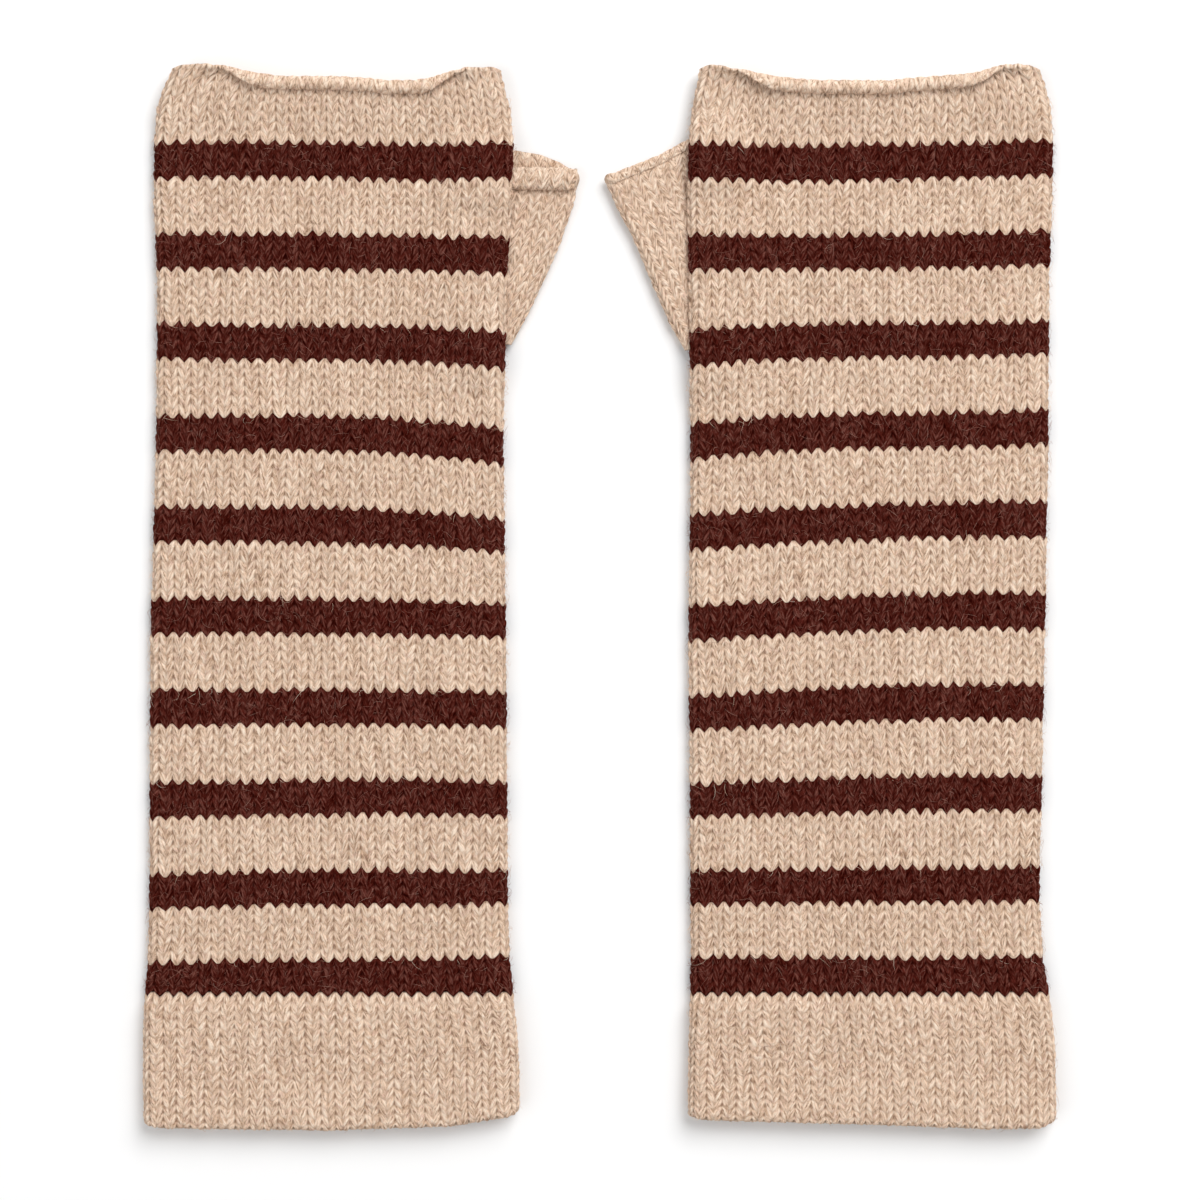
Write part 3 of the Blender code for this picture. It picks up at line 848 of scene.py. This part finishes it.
# Walls of the cloth and of the rim, the hollow between the layers, the reach of the outer fold as a
# length and at most as a share of what shows, the fold's wall as a share, and a course's height
THUMB_WALL = 1.7
THUMB_RIM_WALL = 1.3
THUMB_HOLLOW = 0.75
THUMB_FOLD = 2.6
FOLD_SHARE = 0.8
SIDE_WALL_SHARE = 0.7
THUMB_COURSE = 2.35

# How far the front layer is tucked under the hand, at first and further up, the gap kept to the
# seam, and how far the back layer is tucked and how much higher it starts
TUCK = 5.0
TUCK_AT_TIP = 2.0
TUCK_GROWTH = 12.0
SEAM_GAP = 0.3
BACK_TUCK = 0.8
THUMB_BACK_START = 2.0

# The roll: its height under the hand and where it comes free, how far it is pushed outward, and
# the reach of the smaller radius and of the rounding at its outer corner, and how round that is
TUCKED_ROLL_RISE = 1.75
ROLL_FREE = (1.0, 6.0)
ROLL_PUSH = 0.12
CORNER_REACH = 6.0
THUMB_CORNER = 2.4
CORNER_LESS = 0.5

# Where and how much the cloth thins at a layer's lower end, and at the back layer's rim
END_SPAN = 0.06
END_LESS = 0.4
BACK_RIM_SPAN = (0.95, 1.0)
BACK_RIM_LESS = 0.5

# The purl side: its depth, the height of the waves and how deep the dents along a ridge are, and
# how far the crests of the knit and of the purl side stand past the plain wall
PURL_DEPTH = 0.8
PURL_WAVE = 0.13
PURL_DENTS = 0.28
THUMB_CREST = 0.12
PURL_CREST = 0.2

# For the front and the back layer: mesh columns, rows of the outer and of the inner wall up to the
# rim, and their rows on the roll
THUMB_GRIDS = {1: (88, 150, 12, 8, 26), -1: (52, 90, 90, 0, 0)}
THUMB_SEEDS = {"left": 70, "right": 80}

# Each thumb's outer edge as rows of height and x, its rims in front and behind as rows of the share
# across and height, the roll's radius at the hand and at the corner, its turn in degrees and its
# height, and a column's width at the rim and lower down
THUMBS = {
    "left": {
        "edge": ((67.0, -23.3), (73.5, -19.7), (84.0, -14.4), (94.7, -9.9), (105.3, -6.4), (112.5, -5.2)),
        "front_rim": ((0.0, 111.0), (1.0, 110.6)),
        "back_rim": ((0.0, 118.8), (0.07, 118.7), (0.49, 117.6), (0.83, 115.5), (1.0, 113.8)),
        "roll": (2.4, 2.1),
        "turn": 300.0,
        "rise": 2.6,
        "columns": (3.5, 2.7),
    },
    "right": {
        "edge": ((65.5, 22.6), (73.5, 17.9), (84.0, 13.4), (94.7, 8.9), (105.3, 3.5), (111.5, 0.9)),
        "front_rim": ((0.0, 119.3), (0.2, 119.3), (0.5, 115.2), (0.73, 112.9), (1.0, 110.3)),
        "back_rim": ((0.0, 119.6), (0.5, 116.6), (1.0, 111.2)),
        "roll": (1.3, 1.3),
        "turn": 210.0,
        "rise": 0.95,
        "columns": (3.7, 3.7),
    },
}


def thumb_cloth(mitt, face, share, body, rolled, side, relief):
    """Points of a thumb's layer, and their places in columns and courses.

    share runs from the layer's inner edge to the seam in its outer fold, body from its lower end
    to its rim, and rolled from the rim to the end of the roll. All is worked out with x measured
    outward from the hand, and mirrored at the end for the right mitt.
    """
    thumb, outward, front = THUMBS[mitt], THUMB_SIDE[mitt], face > 0
    start = thumb["edge"][0][0] + (0.0 if front else THUMB_BACK_START)
    rim_rows = thumb["front_rim"] if front else thumb["back_rim"]
    depth = THUMB_WALL + THUMB_HOLLOW / 2

    def layer(along):
        """Hand's edge, fold, share across the flat part, facing, and way left to the seam."""
        hand = outward * read_rows(SIDES[mitt], along)[1 if outward > 0 else 0]
        tuck = TUCK_AT_TIP + (TUCK - TUCK_AT_TIP) * ease(along, start, start + TUCK_GROWTH)
        inner = hand - tuck if front else hand - BACK_TUCK
        outer = outward * read_rows(thumb["edge"], along)[0]
        fold = np.minimum(THUMB_FOLD, FOLD_SHARE * (outer - hand - SEAM_GAP))
        turn = 0.25 * np.pi * (fold + depth)
        flat = outer - fold - inner
        way = share * (flat + turn)
        place = np.clip(way / flat, 0.0, 1.0)
        last = np.clip((flat + turn - way) / turn, 0.0, 1.0) * np.pi / 2
        return hand, inner, outer, fold, place, np.cos(last), np.sin(last), flat + turn - way

    rim_middle = 0.5 * (rim_rows[0][1] + rim_rows[-1][1])
    hand, inner, outer, fold, place, sideways, _, _ = layer(rim_middle + 0.0 * share)
    (rim,) = read_rows(rim_rows, place)
    shown = inner + place * (outer - fold - inner) + fold * sideways - hand
    corner = ease(shown, outer - hand - CORNER_REACH, outer - hand) * (0.5 + 0.5 * sideways)
    near_seam = np.clip((outer - hand - shown) / THUMB_CORNER, 0.0, 1.0)
    radius = thumb["roll"][0] + (thumb["roll"][1] - thumb["roll"][0]) * corner
    radius = radius * (1.0 - CORNER_LESS * (1.0 - np.sqrt(1.0 - (1.0 - near_seam) ** 2)))
    turn = np.radians(thumb["turn"])
    tucked = min(TUCKED_ROLL_RISE, thumb["rise"])
    rise = tucked + (thumb["rise"] - tucked) * ease(shown, *ROLL_FREE)
    length = radius * turn
    ahead, above, out, back = roll_arc(radius, turn, rise, rolled)

    along = start + body * (rim - start) + ahead
    hand, inner, outer, fold, place, sideways, upward, left_over = layer(along)
    thin = np.where(rolled > 0, THUMB_RIM_WALL / THUMB_WALL, 1.0)
    thin = thin * (1.0 - LIP_LESS * ease(rolled, *LIP_SPAN))
    thin = thin * (1.0 - END_LESS * ease(-body, -END_SPAN, 0.0))
    thin = thin if front else thin * (1.0 - BACK_RIM_LESS * ease(body, *BACK_RIM_SPAN))
    side_wall = np.minimum(THUMB_WALL, SIDE_WALL_SHARE * fold)
    slope = side_wall / THUMB_WALL
    offset = side * (0.5 * THUMB_WALL * thin + relief)
    reach = fold - side_wall / 2 + ROLL_PUSH * above + offset * out * slope
    x = inner + place * (outer - fold - inner) + reach * sideways
    y = along + offset * back
    z = THUMB_WALL + THUMB_HOLLOW / 2
    z = z + face * (THUMB_WALL / 2 + THUMB_HOLLOW / 2 + above + offset * out) * upward
    column = thumb["columns"][1] + (thumb["columns"][0] - thumb["columns"][1]) * body
    u = -left_over / column
    w = (start + body * (rim - start) - rim + rolled * length) / THUMB_COURSE
    u, w = np.broadcast_arrays(u, w)
    return np.stack((outward * x, y, z), axis=-1), u, w - SLANT * np.abs(2 * (u % 1.0) - 1.0)


def purl_relief(u, w):
    """Height of the purl side: a wavy ridge in each course, with a bump at each turn of the wave."""
    wave = w - PURL_WAVE * np.cos(2 * np.pi * u)
    dents = PURL_DENTS * (1.0 - np.abs(np.cos(2 * np.pi * u)))
    return PURL_DEPTH * (np.abs(np.sin(np.pi * wave)) ** STRAND_POWER * (1.0 - dents) - 1.0)


def add_thumb(mitt, face):
    """A thumb's layer: stitches on its outer face, purl strands on the roll of the front one.

    The relief fades in at the lower end and out on the roll, and is calmer under the front's roll.
    """
    front = face > 0
    columns, outer_rows, inner_rows, outer_roll_rows, inner_roll_rows = THUMB_GRIDS[face]
    share = np.linspace(0.0, 1.0, columns)[None, :]
    seed = THUMB_SEEDS[mitt] + face

    walls, places, ways = [], [], []
    for side, rows, roll_rows in ((1, outer_rows, outer_roll_rows), (-1, inner_rows, inner_roll_rows)):
        body = np.append(np.linspace(0.0, 1.0, rows), np.ones(roll_rows))[:, None]
        rolled = np.append(np.zeros(rows), np.linspace(0.0, 1.0, roll_rows + 1)[1:])[:, None]
        _, u, w = thumb_cloth(mitt, face, share, body, rolled, side, 0.0)
        if side > 0:
            narrow = ease(body, 0.0, 0.12) * (1.0 - ease(rolled, 0.1, 0.4))
            calmer = 1.0 - 0.5 * ease(body, 0.93, 0.97) if front else 1.0
            relief, depth = knit_relief(u, w, seed) * narrow * calmer, GROOVE
        elif front and mitt == "right":
            relief, depth = (purl_rope(-u, w) + CREST) * ease(rolled, 0.0, 0.15), ROPE_DEPTH
        else:
            start = ease(rolled, 0.0, 0.15) if front else ease(body, 0.5, 0.6)
            relief, depth = (purl_relief(u, w) + PURL_CREST) * start, PURL_DEPTH
        crest = THUMB_CREST if front and side > 0 else 0.0
        walls.append(thumb_cloth(mitt, face, share, body, rolled, side, relief + crest)[0])
        places.append(with_hollows(u, w, relief, depth))
        ways.append((body + 0.2 * rolled)[:, 0])
    return add_cloth(f"{mitt}_thumb_{FACES[face]}_cloth", walls, places, ways, (oatmeal,), plain)


thumbs = {}
for mitt in ("left", "right"):
    for face, node in ((-1, f"{mitt}_thumb_back"), (1, f"{mitt}_thumb_front")):
        thumbs[node] = add_thumb(mitt, face)
        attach(thumbs[node], "root")
        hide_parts(node)

# Nap of the wool
#
# Fine hairs stand off the yarn on the front of each hand and hem. Most lie along the cloth, those
# at the side folds stand out from it, and at the stripes' edges hairs of each colour lie over the other.

# Hairs on a hand, at each of its folds and on a hem, and a stitch column's width
HAND_HAIRS = 3250
FOLD_HAIRS = 420
HEM_HAIRS = 560
WALE = 3.55

# A hair: its length and how far most are shorter, the height of its end over the crests, how deep
# it is rooted, how much it bends from step to step, its radius, and its taper from root to end
HAIR_LENGTHS = (1.2, 4.8)
HAIR_SHORTER = 1.6
HAIR_HEIGHTS = (0.10, 0.55)
HAIR_ROOT = -0.35
HAIR_BEND = 1.3
HAIR_RADIUS = 0.036
HAIR_TAPER = (0.8, 1.0, 0.8, 0.35)
NAP_SEEDS = {"left": 90, "right": 95}
# Colours of hairs rooted in the dark stripes; their light is a painted highlight on fibre crests and
# their shade a painted shade between fibres
HAIR_BROWN = {
    "tints": ((0.230, 0.075, 0.055, 1.0), (0.420, 0.220, 0.170, 1.0)),
    "light": (0.480, 0.280, 0.220, 1.0),
    "shade": (0.120, 0.030, 0.020, 1.0),
    "blush": (0.300, 0.090, 0.060, 1.0),
}

hair_brown = wool(
    "dark_brown_hairs", HAIR_BROWN, painted_shade_share=0.5, gloss=0.1, sheen=0.2, sheen_tint=(1.0, 0.70, 0.60, 1.0)
)


def hair_ways(count, columns, courses, standing, seed):
    """Hairs as short bent ways over a face, in columns, courses and height above the crests.

    Each starts down in the yarn at a random place, heads and bends at random, and rises fast at
    first. standing multiplies how far they rise. The fourth array holds each hair's root.
    """
    random = np.random.default_rng(seed)
    step = np.linspace(0.0, 1.0, len(HAIR_TAPER))[:, None]
    u = random.uniform(*columns, count)
    w = random.uniform(*courses, count)
    shortest, longest = HAIR_LENGTHS
    length = shortest * (longest / shortest) ** (random.uniform(0.0, 1.0, count) ** HAIR_SHORTER)
    heading = random.uniform(0.0, 2 * np.pi, count) + random.normal(0.0, HAIR_BEND, count) * step
    rise = random.uniform(*HAIR_HEIGHTS, count) * standing - HAIR_ROOT
    height = HAIR_ROOT + rise * np.sin(0.5 * np.pi * step)
    reach = length / (len(HAIR_TAPER) - 1)
    over_u = np.cumsum(np.cos(heading), axis=0) * reach / WALE
    over_w = np.cumsum(np.sin(heading), axis=0) * reach / COURSE
    return u + over_u - over_u[0], w + over_w - over_w[0], height, np.stack((u, w, 0.0 * u), axis=-1)


def add_nap(mitt):
    """All hairs of a mitt, as three-sided tubes along their ways, each in its root's colour."""
    seed = NAP_SEEDS[mitt]
    paths, roots = [], []
    groups = (
        (HAND_HAIRS, (0.3, WALES - 0.3), 1.0),
        (FOLD_HAIRS, (0.0, 0.5), 1.8),
        (FOLD_HAIRS, (WALES - 0.5, WALES), 1.8),
    )
    for index, (count, columns, standing) in enumerate(groups):
        u, w, height, root = hair_ways(count, columns, (0.5, RIM_COURSE - 1.0), standing, seed + index)
        share = np.clip(u / WALES, 0.0, 1.0)
        length = hand_height(mitt, np.clip(root[:, 0] / WALES, 0.0, 1.0), w)
        paths.append(hand_cloth(mitt, 1, share, length, 1, height))
        roots.append(root)
    courses = (-float(HEM_COURSES) - 1.0, -0.5)
    u, w, height, root = hair_ways(HEM_HAIRS, (0.0, WALES), courses, 1.3, seed + 3)
    share = np.clip(u / WALES, 0.0, 1.0)
    paths.append(hem_cloth(mitt, 1, share, np.clip(-w, 0.2, HEM_COURSES + 1.2), height))
    roots.append(root)

    paths, roots = np.concatenate(paths, axis=1), np.concatenate(roots)
    ways = np.gradient(paths, axis=0)
    across = np.cross(ways, np.array((0.31, 0.17, 0.94)))
    across /= np.linalg.norm(across, axis=-1, keepdims=True)
    upward = np.cross(across, ways)
    upward /= np.linalg.norm(upward, axis=-1, keepdims=True)
    turns = np.arange(3)[:, None] * 2 * np.pi / 3
    rings = np.cos(turns) * across[:, :, None, :] + np.sin(turns) * upward[:, :, None, :]
    radius = HAIR_RADIUS * np.array(HAIR_TAPER)[:, None, None, None]
    points = paths[:, :, None, :] + radius * rings
    corners = np.arange(points.size // 3).reshape(points.shape[:3])
    following = np.roll(corners, -1, axis=2)
    sides = (corners[:-1], following[:-1], following[1:], corners[1:])
    squares = np.stack(sides, axis=-1).reshape(-1, 4)
    triangles = np.concatenate((corners[0][:, ::-1], corners[-1]))
    places = np.broadcast_to(roots[None, :, None, :], points.shape).reshape(-1, 3)
    materials = (oatmeal, hair_brown)
    return add_piece(f"{mitt}_nap", points.reshape(-1, 3), places, squares, triangles, materials, striped)


for mitt in ("left", "right"):
    nap = add_nap(mitt)
    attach(nap, "root")
